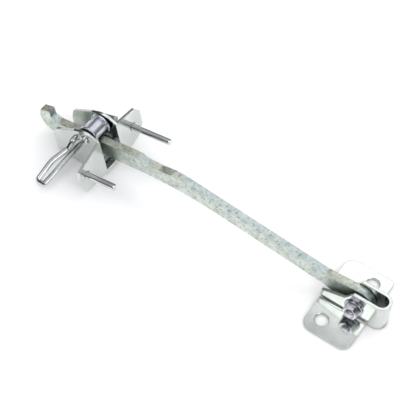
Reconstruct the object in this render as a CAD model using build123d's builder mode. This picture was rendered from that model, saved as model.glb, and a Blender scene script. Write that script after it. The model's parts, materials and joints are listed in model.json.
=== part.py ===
from build123d import *
from math import cos, radians, sin, tan
import os

# Door check for a vehicle door, lying on a flat surface. Millimetres.
# +X runs along the arm from its hooked end to the pillar bracket, +Y across it, +Z up.
# The origin is midway between the two bolt holes of the pillar bracket, on its underside.

os.makedirs("parts", exist_ok=True)

# ---------------------------------------------------------------- driving dimensions
# Pillar bracket: a strap bent into a U, with a foot turned out from each wall.
pillar_sheet = 2.8
wall_outer_y = 8.8
wall_inner_y = wall_outer_y - pillar_sheet
wall_top = 31.0
wall_full_x = 6.7
wall_shoulder_x = -0.2
wall_shoulder_z = 20.6
wall_low_end = 13.0
turn_x = 28.6
turn_lift = 1.0
foot_left = -21.8
foot_right = 23.5
near_foot_reach = 41.6
far_foot_reach = 40.0
foot_left_corner_r = 9.5
foot_holes = ((-8.7, -27.3), (8.7, 27.3))
foot_hole_r = 5.75
bend_inner_r = 2.4

# Pivot of the arm: bolt along Y, nut on the -Y side, bush through the arm's eye.
pivot_x = 9.5
pivot_z = 15.0
bolt_r = 4.0
bolt_end_y = -18.6
bolt_head_t = 5.3
hex_flat = 6.5
nut_t = 6.2
washer_r = 8.6
washer_t = 1.6
bush_r = 6.0
fit_gap = 0.06

# Arm: a flat bar on edge, bent once, with a detent dip in its upper edge.
# It runs beside the far wall of the pillar bracket, so its middle is off the origin's plane.
arm_y = 2.0
arm_half_y = 3.7
eye_r = 13.2
flare_start = 34.0
flare_end = 2.4
flare_half = 12.95
pillar_slope = 6.2
hook_slope = 10.5
bend_r = 330.0
hook_line_x = -261.0
hook_line_z = 21.2
low_half = 7.1
high_half = 8.6

# Carriage: a pressed bracket that runs along the arm on two rollers.
carriage_sheet = 2.8
cheek_outer = 14.4
cheek_inner = cheek_outer - carriage_sheet
arm_w = 14.8
roller_u = -15.5
roller_gap = 0.45
hub_r = 7.6
rim_r = 10.2
hub_half = 7.2
rim_half = 9.5
axle_r = 3.0
roller_bush_r = 4.6
low_roller_r = 5.0
low_roller_half = 6.0
low_axle_r = 2.2
low_bush_r = 3.2
side_play = 0.25

# Door studs, pressed through the flanges, and the spring wire.
near_stud_y = -34.9
far_stud_y = 32.1
stud_w = 13.4
stud_r = 3.0
stud_press_r = 3.7
stud_collar_r = 4.2
stud_collar_t = 1.0
stud_head_r = 5.2
stud_head_t = 2.0
near_stud_length = 30.5
far_stud_length = 41.5
wire_r = 2.8
wire_u = -28.4
wire_w = 27.2
wire_end_u = -29.5
wire_end_w = 14.4


def finish(builder, label):
    """Label a finished piece and write it out."""
    builder.part.label = label
    export_step(builder.part, f"parts/{label}.step")


# ---------------------------------------------------------------- the arm's centre line
def hook_side(u, n):
    """A point of the side view: u along the hook-side straight, n above the centre line."""
    c = cos(radians(hook_slope))
    s = sin(radians(hook_slope))
    return (hook_line_x + u * c - n * s, hook_line_z + u * s + n * c)


def pillar_side(s, n):
    """A point of the side view: s from the pivot along the other straight, n above the line."""
    c = cos(radians(pillar_slope))
    d = sin(radians(pillar_slope))
    return (pivot_x - s * c + n * d, pivot_z + s * d + n * c)


def meeting_lengths():
    """Lengths of the two straights to where they would meet, from the pivot and hook line."""
    span_x = pivot_x - hook_line_x
    span_z = pivot_z - hook_line_z
    rise = sin(radians(pillar_slope + hook_slope))
    from_pivot = (span_x * sin(radians(hook_slope)) - span_z * cos(radians(hook_slope))) / rise
    from_hook = (span_x * sin(radians(pillar_slope)) + span_z * cos(radians(pillar_slope))) / rise
    return from_pivot, from_hook


pillar_run, hook_run = meeting_lengths()
bend_angle = radians(pillar_slope + hook_slope)
bend_length = bend_r * bend_angle
bend_start = pillar_run - bend_r * tan(bend_angle / 2)
bend_finish = bend_start + bend_length
bend_finish_u = hook_run - bend_r * tan(bend_angle / 2)


def arm_point(s, n):
    """A point of the side view: s along the whole centre line from the pivot, n above it."""
    if s <= bend_start:
        return pillar_side(s, n)
    if s >= bend_finish:
        return hook_side(bend_finish_u - (s - bend_finish), n)
    centre = pillar_side(bend_start, -bend_r)
    lean = radians(pillar_slope) - (s - bend_start) / bend_r
    return (centre[0] + (bend_r + n) * sin(lean), centre[1] + (bend_r + n) * cos(lean))


def side_view(y):
    """The plane of the side view at Y = y: local x is X, local y is Z, its normal is -Y."""
    return Plane(origin=(0, y, 0), x_dir=(1, 0, 0), z_dir=(0, -1, 0))


def across(centre, y):
    """The plane at Y = y with its origin on the axis through centre, and its normal +Y."""
    return Plane(origin=(centre[0], y, centre[1]), x_dir=(1, 0, 0), z_dir=(0, 1, 0))


# ---------------------------------------------------------------- check arm
hook_neck = -5.3
hook_face = -51.3
hook_top = 19.7
hook_back = -62.3
hook_outer = -65.2

# The detent dip: length from the pivot, and height above the centre line.
dip = (
    (168.0, low_half),
    (180.0, 8.1),
    (190.0, 7.9),
    (204.0, 5.2),
    (216.0, 5.4),
    (226.0, 8.3),
    (232.0, high_half),
)

with BuildPart() as check_arm:
    with BuildSketch(side_view(arm_y)):
        with BuildLine():
            dip_points = [arm_point(s, n) for s, n in dip]
            Line(arm_point(0, low_half), dip_points[0])
            Polyline(*dip_points)
            Line(dip_points[-1], hook_side(-42, high_half))
            RadiusArc(hook_side(-42, high_half), hook_side(hook_face, 13.0), 11.0)
            Line(hook_side(hook_face, 13.0), hook_side(hook_face, hook_top))
            Line(hook_side(hook_face, hook_top), hook_side(hook_back, 18.0))
            Line(hook_side(hook_back, 18.0), hook_side(hook_outer, 10.0))
            RadiusArc(hook_side(hook_outer, 10.0), hook_side(-54, hook_neck), -15.0)
            Line(hook_side(-54, hook_neck), hook_side(-42, hook_neck))
            Line(hook_side(-42, hook_neck), hook_side(-32, -high_half))
            Line(hook_side(-32, -high_half), arm_point(bend_finish, -high_half))
            ThreePointArc(
                arm_point(bend_finish, -high_half),
                arm_point(bend_start + bend_length / 2, -(high_half + low_half) / 2),
                arm_point(bend_start, -low_half),
            )
            Line(arm_point(bend_start, -low_half), arm_point(0, -low_half))
            Line(arm_point(0, -low_half), arm_point(0, low_half))
        make_face()
        with BuildLine():
            Polyline(
                pillar_side(flare_start, low_half),
                pillar_side(flare_end, flare_half),
                pillar_side(flare_end, -flare_half),
                pillar_side(flare_start, -low_half),
                close=True,
            )
        make_face()
        with Locations((pivot_x, pivot_z)):
            Circle(eye_r)
            Circle(bush_r, mode=Mode.SUBTRACT)
    extrude(amount=arm_half_y, both=True)
finish(check_arm, "check_arm")

# ---------------------------------------------------------------- pillar bracket
with BuildPart() as pillar_bracket:
    with BuildSketch(Plane.XY):
        with Locations(((foot_left + turn_x) / 2, 0)):
            Rectangle(turn_x - foot_left, 2 * wall_outer_y)
        with Locations((turn_x, 0)):
            Circle(wall_outer_y)
        with Locations(((foot_left + turn_x) / 2, 0)):
            Rectangle(turn_x - foot_left, 2 * wall_inner_y, mode=Mode.SUBTRACT)
        with Locations((turn_x, 0)):
            Circle(wall_inner_y, mode=Mode.SUBTRACT)
    extrude(amount=wall_top)
    with BuildSketch(side_view(0)) as above_walls:
        with BuildLine():
            Polyline(
                (foot_left - 1, wall_low_end),
                (wall_shoulder_x, wall_shoulder_z),
                (wall_full_x, wall_top),
                (wall_full_x, wall_top + 1),
                (foot_left - 1, wall_top + 1),
                close=True,
            )
        make_face()
        shoulder = above_walls.vertices().sort_by_distance((wall_shoulder_x, wall_shoulder_z))[0]
        fillet(shoulder, 4.0)
    extrude(amount=wall_outer_y + 1, both=True, mode=Mode.SUBTRACT)
    with BuildSketch(side_view(0)):
        with Locations((foot_right + turn_x / 2, 0)):
            Rectangle(turn_x, 2 * turn_lift)
    extrude(amount=wall_outer_y + 1, both=True, mode=Mode.SUBTRACT)
    for side, reach, right_corner_r in ((-1, near_foot_reach, 8.0), (1, far_foot_reach, 4.5)):
        with BuildSketch(Plane.XY) as foot:
            with Locations(((foot_left + foot_right) / 2, side * (reach + wall_inner_y) / 2)):
                Rectangle(foot_right - foot_left, reach - wall_inner_y)
            free_corners = foot.vertices().group_by(Axis.Y)[-1 if side > 0 else 0]
            fillet(free_corners.sort_by(Axis.X)[0], foot_left_corner_r)
            right_corners = foot.vertices().group_by(Axis.X)[-1]
            fillet(right_corners.sort_by(Axis.Y)[-1 if side > 0 else 0], right_corner_r)
        extrude(amount=pillar_sheet)
    with BuildSketch(Plane.XY):
        with Locations(*foot_holes):
            Circle(foot_hole_r)
    extrude(amount=pillar_sheet, mode=Mode.SUBTRACT)
    with BuildSketch(side_view(0)):
        with Locations((pivot_x, pivot_z)):
            Circle(bolt_r)
    extrude(amount=wall_outer_y + 1, both=True, mode=Mode.SUBTRACT)
    creases = pillar_bracket.edges().filter_by(Axis.X).filter_by(
        lambda e: abs(abs(e.center().Y) - wall_outer_y) < 0.01 and abs(e.center().Z - pillar_sheet) < 0.01
    )
    fillet(creases, bend_inner_r)
    undersides = pillar_bracket.edges().filter_by(Axis.X).filter_by(
        lambda e: abs(abs(e.center().Y) - wall_inner_y) < 0.01 and abs(e.center().Z) < 0.01
    )
    fillet(undersides, turn_lift - 0.1)
    hole_rims = pillar_bracket.edges().filter_by(GeomType.CIRCLE).filter_by(
        lambda e: abs(e.radius - foot_hole_r) < 0.01 and e.center().Z > pillar_sheet / 2
    )
    chamfer(hole_rims, 0.5)
finish(pillar_bracket, "pillar_bracket")


# ---------------------------------------------------------------- turned rings across the object
def rings(label, centre, outer_r, inner_r, spans, round_r=0.0):
    """Rings about the axis along Y through centre, one for each span of Y, as one node."""
    with BuildPart() as ring:
        for low, high in spans:
            with BuildSketch(across(centre, low)):
                Circle(outer_r)
                Circle(inner_r, mode=Mode.SUBTRACT)
            extrude(amount=high - low)
        if round_r:
            outer_rims = ring.edges().filter_by(GeomType.CIRCLE).filter_by(
                lambda e: abs(e.radius - outer_r) < 0.01
            )
            fillet(outer_rims, round_r)
    finish(ring, label)


def both_sides(middle, inner, outer):
    """Two spans of Y, mirrored about middle."""
    return ((middle - outer, middle - inner), (middle + inner, middle + outer))


# ---------------------------------------------------------------- pivot
pivot = (pivot_x, pivot_z)
washer_face = wall_outer_y + washer_t
bush_half = wall_inner_y - 0.1
rings("arm_bush", pivot, bush_r, bolt_r + fit_gap, ((-bush_half, bush_half),))
rings("eye_spacer", pivot, 8.2, bush_r, ((side_play - wall_inner_y, arm_y - arm_half_y),))
rings("pivot_washers", pivot, washer_r, bolt_r, both_sides(0, wall_outer_y, washer_face), 0.4)

with BuildPart() as pivot_bolt:
    with BuildSketch(across(pivot, bolt_end_y)):
        Circle(bolt_r)
    extrude(amount=washer_face - bolt_end_y)
    chamfer(pivot_bolt.faces().sort_by(Axis.Y)[0].edges(), 0.8)
    with BuildSketch(across(pivot, washer_face)):
        RegularPolygon(hex_flat, 6, major_radius=False, rotation=10)
    extrude(amount=bolt_head_t)
finish(pivot_bolt, "pivot_bolt")

with BuildPart() as pivot_nut:
    with BuildSketch(across(pivot, -washer_face - nut_t)):
        RegularPolygon(hex_flat, 6, major_radius=False, rotation=48)
        Circle(bolt_r, mode=Mode.SUBTRACT)
    extrude(amount=nut_t)
finish(pivot_nut, "pivot_nut")

# ---------------------------------------------------------------- the carriage's own frame
# u runs along the arm towards the pillar, w away from the carriage's foot, v across it.
carriage_corner = hook_side(13.46, -arm_w)
carriage_origin = (carriage_corner[0], arm_y, carriage_corner[1])
run_dir = (cos(radians(hook_slope)), 0, sin(radians(hook_slope)))
carriage_side = Plane(origin=carriage_origin, x_dir=run_dir, z_dir=(0, -1, 0))
carriage_front = Plane(origin=carriage_origin, x_dir=(0, 1, 0), z_dir=run_dir)


def carriage_point(u, v, w):
    """A point of the carriage's frame in the object's frame."""
    return carriage_side.from_local_coords((u, w, -v))


def carriage_centre(u, w):
    """The side-view place of an axis that crosses the carriage at (u, w)."""
    point = carriage_point(u, 0, w)
    return (point.X, point.Z)


# ---------------------------------------------------------------- carriage bracket
upper_w = arm_w + high_half + roller_gap + hub_r
lower_w = arm_w - high_half - roller_gap - low_roller_r
front_foot = -4.0
rear_foot = 0.9
rear_u = -50.0
foot_break_u = -22.0
web_end_u = -42.0
cheek_outline = (
    (0, front_foot),
    (0, 33.7),
    (-8.3, 39.0),
    (-16.0, 40.6),
    (-27.0, 38.1),
    (-50.5, 29.3),
    (-54.0, 20.0),
    (-54.5, 2.4),
    (rear_u, rear_foot),
    (foot_break_u, front_foot),
)
rounded_corners = ((-8.3, 39.0, 8.0), (-16.0, 40.6, 8.0), (-50.5, 29.3, 2.0), (-54.5, 2.4, 2.0))
near_flange = ((-12.6, 33.7), (-43.0, 23.5), (-45.5, 17.0), (-41.0, -3.0), (-12.6, front_foot))
far_flange = (
    (12.6, 33.7),
    (38.0, 31.0),
    (44.0, 24.0),
    (44.0, 9.0),
    (36.0, -1.0),
    (24.0, front_foot),
    (12.6, front_foot),
)

with BuildPart() as carriage_bracket:
    with BuildSketch(carriage_side) as cheeks:
        with BuildLine():
            Polyline(*cheek_outline, close=True)
        make_face()
        for u, w, r in rounded_corners:
            fillet(cheeks.vertices().sort_by_distance((u, w))[0], r)
    extrude(amount=cheek_outer, both=True)
    with BuildSketch(carriage_side):
        with BuildLine():
            Polyline(
                (10, front_foot + carriage_sheet),
                (10, 60),
                (-70, 60),
                (-70, rear_foot + carriage_sheet),
                (rear_u, rear_foot + carriage_sheet),
                (foot_break_u, front_foot + carriage_sheet),
                close=True,
            )
        make_face()
    extrude(amount=cheek_inner, both=True, mode=Mode.SUBTRACT)
    for outline in (near_flange, far_flange):
        with BuildSketch(carriage_front):
            with BuildLine():
                Polyline(*outline, close=True)
            make_face()
        extrude(amount=-carriage_sheet)
    with BuildSketch(carriage_side):
        with Locations((roller_u, front_foot)):
            Rectangle(2 * low_roller_r + 5, 4 * carriage_sheet)
        with Locations((web_end_u - 20, 0)):
            Rectangle(40, 20)
    extrude(amount=cheek_inner, both=True, mode=Mode.SUBTRACT)
    with BuildSketch(carriage_side):
        with Locations((roller_u, upper_w)):
            Circle(axle_r + fit_gap)
        with Locations((roller_u, lower_w)):
            Circle(low_axle_r)
        with Locations((wire_u, wire_w)):
            Circle(wire_r)
    extrude(amount=cheek_outer + 1, both=True, mode=Mode.SUBTRACT)
    with BuildSketch(carriage_side.offset(cheek_inner - 1)):
        with Locations((wire_end_u, wire_end_w)):
            Circle(wire_r)
    extrude(amount=carriage_sheet + 2, mode=Mode.SUBTRACT)
    with BuildSketch(carriage_front):
        with Locations((near_stud_y, stud_w), (far_stud_y, stud_w)):
            Circle(stud_press_r)
    extrude(amount=-carriage_sheet, mode=Mode.SUBTRACT)
finish(carriage_bracket, "carriage_bracket")


# ---------------------------------------------------------------- axles and rollers
def rivet_axle(label, centre, shank_r, head_r, head_t):
    """A riveted axle through both cheeks, with a domed head outside each."""
    with BuildPart() as axle:
        for low in (arm_y - cheek_outer - head_t, arm_y + cheek_outer):
            with BuildSketch(across(centre, low)):
                Circle(head_r)
            extrude(amount=head_t)
        with BuildSketch(across(centre, arm_y - cheek_outer)):
            Circle(shank_r)
        extrude(amount=2 * cheek_outer)
        ends = axle.faces().sort_by(Axis.Y)
        fillet(ends[0].edges() + ends[-1].edges(), head_t * 0.7)
    finish(axle, label)


upper = carriage_centre(roller_u, upper_w)
lower = carriage_centre(roller_u, lower_w)
rivet_axle("upper_axle", upper, axle_r, 4.7, 2.2)
rivet_axle("lower_axle", lower, low_axle_r, 3.6, 1.8)

with BuildPart() as upper_roller:
    with BuildSketch(across(upper, arm_y - hub_half)):
        Circle(hub_r)
    extrude(amount=2 * hub_half)
    for low, high in both_sides(arm_y, hub_half, rim_half):
        with BuildSketch(across(upper, low)):
            Circle(rim_r)
        extrude(amount=high - low)
    with BuildSketch(across(upper, arm_y - rim_half)):
        Circle(roller_bush_r)
    extrude(amount=2 * rim_half, mode=Mode.SUBTRACT)
    rims = upper_roller.edges().filter_by(GeomType.CIRCLE).filter_by(lambda e: abs(e.radius - rim_r) < 0.01)
    fillet(rims, 0.7)
finish(upper_roller, "upper_roller")

spacer_end = cheek_inner - side_play
rings("upper_roller_bush", upper, roller_bush_r, axle_r + fit_gap, ((arm_y - rim_half, arm_y + rim_half),))
rings("upper_spacers", upper, 5.2, axle_r, both_sides(arm_y, rim_half + side_play, spacer_end))
low_roller_span = (arm_y - low_roller_half, arm_y + low_roller_half)
rings("lower_roller", lower, low_roller_r, low_bush_r, (low_roller_span,), 0.6)
rings("lower_roller_bush", lower, low_bush_r, low_axle_r + fit_gap, (low_roller_span,))
rings("lower_spacers", lower, 3.6, low_axle_r, both_sides(arm_y, low_roller_half + side_play, cheek_inner))


# ---------------------------------------------------------------- door studs
def door_stud(label, v, length):
    """A stud with a thicker pressed part in its flange, a head behind, and a collared shank."""
    with BuildPart() as stud:
        with BuildSketch(carriage_front):
            with Locations((v, stud_w)):
                Circle(stud_r)
        extrude(amount=length)
        chamfer(stud.faces().sort_by(Axis.X)[-1].edges(), 0.8)
        with BuildSketch(carriage_front):
            with Locations((v, stud_w)):
                Circle(stud_press_r)
        extrude(amount=-carriage_sheet)
        with BuildSketch(carriage_front):
            with Locations((v, stud_w)):
                Circle(stud_collar_r)
        extrude(amount=stud_collar_t)
        with BuildSketch(carriage_front.offset(-carriage_sheet)):
            with Locations((v, stud_w)):
                Circle(stud_head_r)
        extrude(amount=-stud_head_t)
    finish(stud, label)


door_stud("near_stud", near_stud_y, near_stud_length)
door_stud("far_stud", far_stud_y, far_stud_length)

# ---------------------------------------------------------------- spring wire
# It starts outside the far cheek, crosses above the arm, bows out and down into a hairpin
# outside the near cheek, and comes back through the near cheek.
far_hook_v = cheek_outer + 5.4
wire_points = (
    carriage_point(-7.0, far_hook_v, 31.0),
    carriage_point(wire_u, far_hook_v, wire_w),
    carriage_point(wire_u, -cheek_outer - 2.5, wire_w),
    carriage_point(-31.6, -22.5, 20.0),
    carriage_point(-37.0, -40.0, 17.6),
    carriage_point(-39.1, -59.0, 10.5),
    carriage_point(-35.8, -57.5, 3.8),
    carriage_point(wire_end_u, -cheek_outer - 4.0, wire_end_w),
    carriage_point(wire_end_u, -cheek_inner + 1.5, wire_end_w),
)
wire_bends = (4.0, 3.4, 5.0, 25.0, 3.2, 3.2, 6.0)
with BuildPart() as spring_wire:
    with BuildLine() as wire_line:
        FilletPolyline(*wire_points, radius=wire_bends)
    with BuildSketch(Plane(origin=wire_line.line @ 0, z_dir=wire_line.line % 0)):
        Circle(wire_r)
    sweep()
finish(spring_wire, "spring_wire")
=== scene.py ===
import bpy
import json
from math import cos, radians, sin
from mathutils import Matrix, Vector


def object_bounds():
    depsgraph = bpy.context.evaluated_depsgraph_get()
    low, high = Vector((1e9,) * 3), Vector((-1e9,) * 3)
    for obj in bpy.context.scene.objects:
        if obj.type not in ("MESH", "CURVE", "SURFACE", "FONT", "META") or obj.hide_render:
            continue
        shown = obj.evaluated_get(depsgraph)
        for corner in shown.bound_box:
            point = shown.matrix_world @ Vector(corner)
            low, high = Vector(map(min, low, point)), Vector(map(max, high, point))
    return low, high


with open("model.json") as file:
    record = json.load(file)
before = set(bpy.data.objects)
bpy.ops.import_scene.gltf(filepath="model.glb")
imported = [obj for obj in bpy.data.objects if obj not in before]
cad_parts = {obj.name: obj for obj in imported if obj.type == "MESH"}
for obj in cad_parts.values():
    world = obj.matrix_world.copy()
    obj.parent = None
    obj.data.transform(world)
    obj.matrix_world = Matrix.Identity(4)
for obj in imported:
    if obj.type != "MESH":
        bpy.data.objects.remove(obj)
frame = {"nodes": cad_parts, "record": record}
cad_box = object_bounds()
nodes = frame["nodes"]


# ---------------------------------------------------------------- materials
def metal(
    name,
    light,
    dark,
    *,
    patch_scale,
    roughness,
    spread,
    grain_scale,
    grain,
    crevice_shade,
    crevice_shade_reach,
    edge=0.0004,
    pits=0.0,
    pit_scale=400.0,
    painted_lean_shade=None,
):
    """A metal with soft patches of colour, grain and rounded edges, painted shade in its crevices, optional
    pits, and an optional painted shade and reflection tint that follows which way a face leans.
    """
    material = bpy.data.materials.new(name)
    material.use_nodes = True
    tree = material.node_tree
    tree.nodes.clear()

    def node(kind, **inputs):
        made = tree.nodes.new(kind)
        for key, value in inputs.items():
            made.inputs[key.replace("_", " ")].default_value = value
        return made

    def ramp(source, stops):
        made = tree.nodes.new("ShaderNodeValToRGB")
        elements = made.color_ramp.elements
        while len(elements) < len(stops):
            elements.new(0.5)
        for element, (place, colour) in zip(elements, stops):
            element.position = place
            element.color = (*colour, 1.0)
        tree.links.new(source, made.inputs["Fac"])
        return made.outputs["Color"]

    def multiply(a, b):
        made = tree.nodes.new("ShaderNodeMix")
        made.data_type = "RGBA"
        made.blend_type = "MULTIPLY"
        made.inputs[0].default_value = 1.0
        tree.links.new(a, made.inputs[6])
        tree.links.new(b, made.inputs[7])
        return made.outputs[2]

    place = tree.nodes.new("ShaderNodeTexCoord")
    patches = node("ShaderNodeTexNoise", Scale=patch_scale, Detail=5.0, Roughness=0.6)
    fine = node("ShaderNodeTexNoise", Scale=grain_scale, Detail=3.0, Roughness=0.55)
    for texture in (patches, fine):
        tree.links.new(place.outputs["Object"], texture.inputs["Vector"])
    colour = ramp(patches.outputs["Fac"], ((0.3, dark), (0.7, light)))
    # Painted reflection and shade: faces leaning towards +X are made darker and bluer, and faces leaning
    # towards -X warmer, as the surroundings would reflect on them.
    if painted_lean_shade:
        facing = tree.nodes.new("ShaderNodeSeparateXYZ")
        tree.links.new(place.outputs["Normal"], facing.inputs["Vector"])
        lean = tree.nodes.new("ShaderNodeMath")
        lean.inputs[1].default_value = 0.5
        tree.links.new(facing.outputs["X"], lean.inputs[0])
        colour = multiply(colour, ramp(lean.outputs["Value"], ((0.36, painted_lean_shade[0]), (0.6, painted_lean_shade[1]))))
    height = fine.outputs["Fac"]
    if pits:
        spots = node("ShaderNodeTexNoise", Scale=pit_scale, Detail=6.0, Roughness=0.7)
        tree.links.new(place.outputs["Object"], spots.inputs["Vector"])
        shade = 1.0 - pits
        spotted = ramp(spots.outputs["Fac"], ((0.33, (shade,) * 3), (0.47, (1.0,) * 3)))
        colour = multiply(colour, spotted)
        height = multiply(height, spotted)
    # Painted shade: the colour is darkened where ambient occlusion finds other surfaces close by, in
    # creases, slots and between parts.
    occlusion = node("ShaderNodeAmbientOcclusion", Distance=crevice_shade_reach)
    occlusion.samples = 8
    shade = ramp(occlusion.outputs["AO"], ((0.12, (1.0 - crevice_shade,) * 3), (0.62, (1.0,) * 3)))
    colour = multiply(colour, shade)
    rounded = node("ShaderNodeBevel", Radius=edge)
    rounded.samples = 4
    bump = node("ShaderNodeBump", Strength=1.0, Distance=grain)
    tree.links.new(rounded.outputs["Normal"], bump.inputs["Normal"])
    tree.links.new(height, bump.inputs["Height"])
    wear = node("ShaderNodeMapRange")
    wear.inputs["To Min"].default_value = roughness - spread / 2
    wear.inputs["To Max"].default_value = roughness + spread / 2
    tree.links.new(patches.outputs["Fac"], wear.inputs["Value"])
    shader = node("ShaderNodeBsdfPrincipled", Metallic=1.0)
    tree.links.new(colour, shader.inputs["Base Color"])
    tree.links.new(wear.outputs["Result"], shader.inputs["Roughness"])
    tree.links.new(bump.outputs["Normal"], shader.inputs["Normal"])
    output = tree.nodes.new("ShaderNodeOutputMaterial")
    tree.links.new(shader.outputs["BSDF"], output.inputs["Surface"])
    return material


# Every finish gets painted shade in its crevices (crevice amount and reach).
sheet = metal(
    "zinc_sheet", (0.74, 0.77, 0.74), (0.57, 0.60, 0.58), patch_scale=38.0, roughness=0.14, spread=0.08,
    grain_scale=700.0, grain=0.000012, crevice_shade=0.6, crevice_shade_reach=0.006, edge=0.0007,
)
# The forging's last argument paints a reflection and shade tint that follows which way a face leans.
forged = metal(
    "zinc_forging", (0.84, 0.86, 0.76), (0.54, 0.58, 0.51), patch_scale=170.0, roughness=0.4, spread=0.16,
    grain_scale=500.0, grain=0.00008, crevice_shade=0.9, crevice_shade_reach=0.009, pits=0.65, pit_scale=380.0,
    painted_lean_shade=((1.0, 1.0, 0.95), (0.82, 0.9, 1.0)),
)
bright = metal(
    "bright_steel", (0.78, 0.80, 0.80), (0.50, 0.53, 0.53), patch_scale=70.0, roughness=0.1, spread=0.05,
    grain_scale=500.0, grain=0.000006, crevice_shade=0.8, crevice_shade_reach=0.007,
)
turned = metal(
    "turned_steel", (0.70, 0.71, 0.78), (0.52, 0.53, 0.60), patch_scale=80.0, roughness=0.26, spread=0.08,
    grain_scale=600.0, grain=0.00001, crevice_shade=0.75, crevice_shade_reach=0.004,
)
pivot_steel = metal(
    "pivot_steel", (0.72, 0.72, 0.78), (0.28, 0.28, 0.32), patch_scale=160.0, roughness=0.2, spread=0.12,
    grain_scale=700.0, grain=0.00002, crevice_shade=0.85, crevice_shade_reach=0.004,
)
bronze = metal(
    "sintered_bronze", (0.62, 0.5, 0.34), (0.45, 0.35, 0.22), patch_scale=150.0, roughness=0.45, spread=0.1,
    grain_scale=900.0, grain=0.00003, crevice_shade=0.6, crevice_shade_reach=0.004, pits=0.3, pit_scale=900.0,
)

finishes = {
    "bracket_zinc": sheet,
    "arm_steel": forged,
    "bright_steel": bright,
    "roller_steel": turned,
    "pivot_steel": pivot_steel,
    "bush_bronze": bronze,
}


# ---------------------------------------------------------------- softened edges on the CAD nodes
SAME_POINT = 0.00001
FLAT_SEAM = radians(1.0)
SHARP_EDGE = radians(40)


def soften(obj, width):
    """Joins the mesh's split points, clears flat seams, and rounds the sharp edges."""
    weld = obj.modifiers.new("weld", "WELD")
    weld.merge_threshold = SAME_POINT
    flat = obj.modifiers.new("flat", "DECIMATE")
    flat.decimate_type = "DISSOLVE"
    flat.angle_limit = FLAT_SEAM
    bevel = obj.modifiers.new("bevel", "BEVEL")
    bevel.width = width
    bevel.segments = 2
    bevel.limit_method = "ANGLE"
    bevel.angle_limit = SHARP_EDGE
    bevel.harden_normals = True


edge_width = {
    "check_arm": 0.0009,
    "pillar_bracket": 0.0008,
    "pivot_nut": 0.0005,
    "pivot_bolt": 0.0003,
}
slots = {part["node"]: part["material_slot"] for part in frame["record"]["subparts"]}
for name, obj in nodes.items():
    obj.data.materials.clear()
    obj.data.materials.append(finishes[slots[name]])
    if name in edge_width:
        soften(obj, edge_width[name])

# ---------------------------------------------------------------- floor
FLOOR_REACH = 6.0
floor_mesh = bpy.data.meshes.new("floor")
floor_mesh.from_pydata(
    [
        (-FLOOR_REACH, -FLOOR_REACH, 0),
        (FLOOR_REACH, -FLOOR_REACH, 0),
        (FLOOR_REACH, FLOOR_REACH, 0),
        (-FLOOR_REACH, FLOOR_REACH, 0),
    ],
    [],
    [(0, 1, 2, 3)],
)
floor = bpy.data.objects.new("floor", floor_mesh)
bpy.context.scene.collection.objects.link(floor)
paper = bpy.data.materials.new("paper")
paper.use_nodes = True
paper_shader = paper.node_tree.nodes["Principled BSDF"]
paper_shader.inputs["Base Color"].default_value = (0.94, 0.94, 0.94, 1.0)
paper_shader.inputs["Roughness"].default_value = 0.9
paper_shader.inputs["Specular IOR Level"].default_value = 0.1
floor_mesh.materials.append(paper)
floor.location.z = cad_box[0][2]

# ---------------------------------------------------------------- light
world = bpy.data.worlds.new("studio")
bpy.context.scene.world = world
world.use_nodes = True
sky = world.node_tree
sky.nodes.clear()


def ramp_of_height(source, stops):
    """A grey that follows the height of a direction above the horizon."""
    made = sky.nodes.new("ShaderNodeValToRGB")
    while len(made.color_ramp.elements) < len(stops):
        made.color_ramp.elements.new(0.5)
    for element, (place, value) in zip(made.color_ramp.elements, stops):
        element.position = place
        element.color = (value, value, value * 1.02, 1.0)
    sky.links.new(source, made.inputs["Fac"])
    return made.outputs["Color"]


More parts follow.
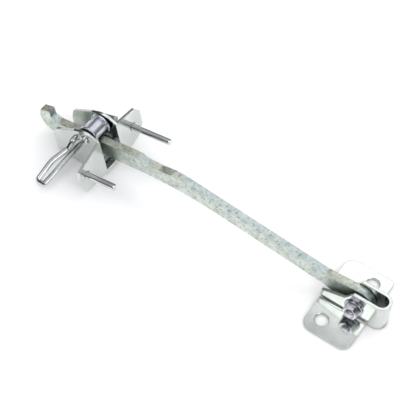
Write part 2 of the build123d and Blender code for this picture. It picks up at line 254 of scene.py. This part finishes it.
direction = sky.nodes.new("ShaderNodeTexCoord")
split = sky.nodes.new("ShaderNodeSeparateXYZ")
sky.links.new(direction.outputs["Generated"], split.inputs["Vector"])
room = ramp_of_height(split.outputs["Z"], ((0.0, 0.95), (0.5, 1.0), (1.0, 1.0)))
mirrored = ramp_of_height(
    split.outputs["Z"], ((0.0, 0.4), (0.1, 0.04), (0.3, 0.1), (0.55, 0.36), (0.78, 0.54), (1.0, 0.7))
)
kind = sky.nodes.new("ShaderNodeLightPath")
choice = sky.nodes.new("ShaderNodeMix")
choice.data_type = "RGBA"
sky.links.new(kind.outputs["Is Glossy Ray"], choice.inputs[0])
sky.links.new(room, choice.inputs[6])
sky.links.new(mirrored, choice.inputs[7])
glow = sky.nodes.new("ShaderNodeBackground")
glow.inputs["Strength"].default_value = 1.03
sky.links.new(choice.outputs[2], glow.inputs["Color"])
sky_out = sky.nodes.new("ShaderNodeOutputWorld")
sky.links.new(glow.outputs["Background"], sky_out.inputs["Surface"])


def softbox(name, place, aim, width, depth, power):
    """A rectangular area light at place, facing aim."""
    lamp = bpy.data.lights.new(name, "AREA")
    lamp.shape = "RECTANGLE"
    lamp.size = width
    lamp.size_y = depth
    lamp.energy = power
    obj = bpy.data.objects.new(name, lamp)
    bpy.context.scene.collection.objects.link(obj)
    obj.location = place
    obj.rotation_euler = (Vector(aim) - Vector(place)).to_track_quat("-Z", "Y").to_euler()


# Place, aim, width and depth in metres, and watts. The key is behind the object, and the others before it.
softbox("key", (-0.25, 0.94, 1.0), (-0.25, 0.52, 0.0), 1.3, 0.7, 2.9)
softbox("fill", (1.1, -0.3, 0.9), (-0.12, 0.0, 0.0), 0.8, 0.6, 4.0)
softbox("front", (-0.4, -0.66, 1.1), (0.0, -0.02, 0.0), 0.6, 0.5, 1.5)

# ---------------------------------------------------------------- camera at the photo's viewing angle
AZIMUTH = radians(32.91)
ELEVATION = radians(54.78)
ROLL = radians(2.13)
LOOK_AT = Vector((-0.1424, 0.003, 0.015))
DISTANCE = 1.0552
LENS_MM = 104.44
SENSOR_MM = 36.0

right = Vector((cos(AZIMUTH), sin(AZIMUTH), 0.0))
forward = Vector((-sin(AZIMUTH) * cos(ELEVATION), cos(AZIMUTH) * cos(ELEVATION), -sin(ELEVATION)))
up = right.cross(forward)
rolled_right = right * cos(ROLL) + up * sin(ROLL)
rolled_up = up * cos(ROLL) - right * sin(ROLL)
camera_data = bpy.data.cameras.new("camera")
camera_data.lens = LENS_MM
camera_data.sensor_width = SENSOR_MM
camera = bpy.data.objects.new("camera", camera_data)
bpy.context.scene.collection.objects.link(camera)
turn = Matrix((rolled_right, rolled_up, -forward)).transposed().to_4x4()
camera.matrix_world = Matrix.Translation(LOOK_AT - forward * DISTANCE) @ turn
bpy.context.scene.camera = camera
bpy.context.scene.view_settings.view_transform = "Standard"
